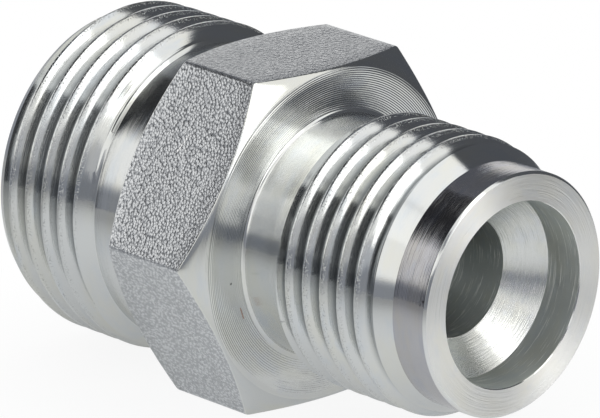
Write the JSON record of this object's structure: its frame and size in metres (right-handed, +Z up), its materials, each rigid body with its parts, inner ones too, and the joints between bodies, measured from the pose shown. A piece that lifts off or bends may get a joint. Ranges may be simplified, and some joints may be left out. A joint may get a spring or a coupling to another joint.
{
  "type": "threaded adapter",
  "caption": "Straight turned steel adapter with a hexagon between a smaller and a larger male thread and a stepped passage right through.",
  "frame": {"origin": "on the axis, half-way along the length", "axes": "+X along the axis towards the smaller thread, +Z up, one flat of the hexagon facing down"},
  "size_m": [0.036, 0.0252, 0.022],
  "materials": {
    "plated_steel": "bright plated steel, turned all over except the finely grained hexagon flats"
  },
  "bodies": {
    "root": {"adapter_body": "plated_steel"}
  },
  "joints": []
}
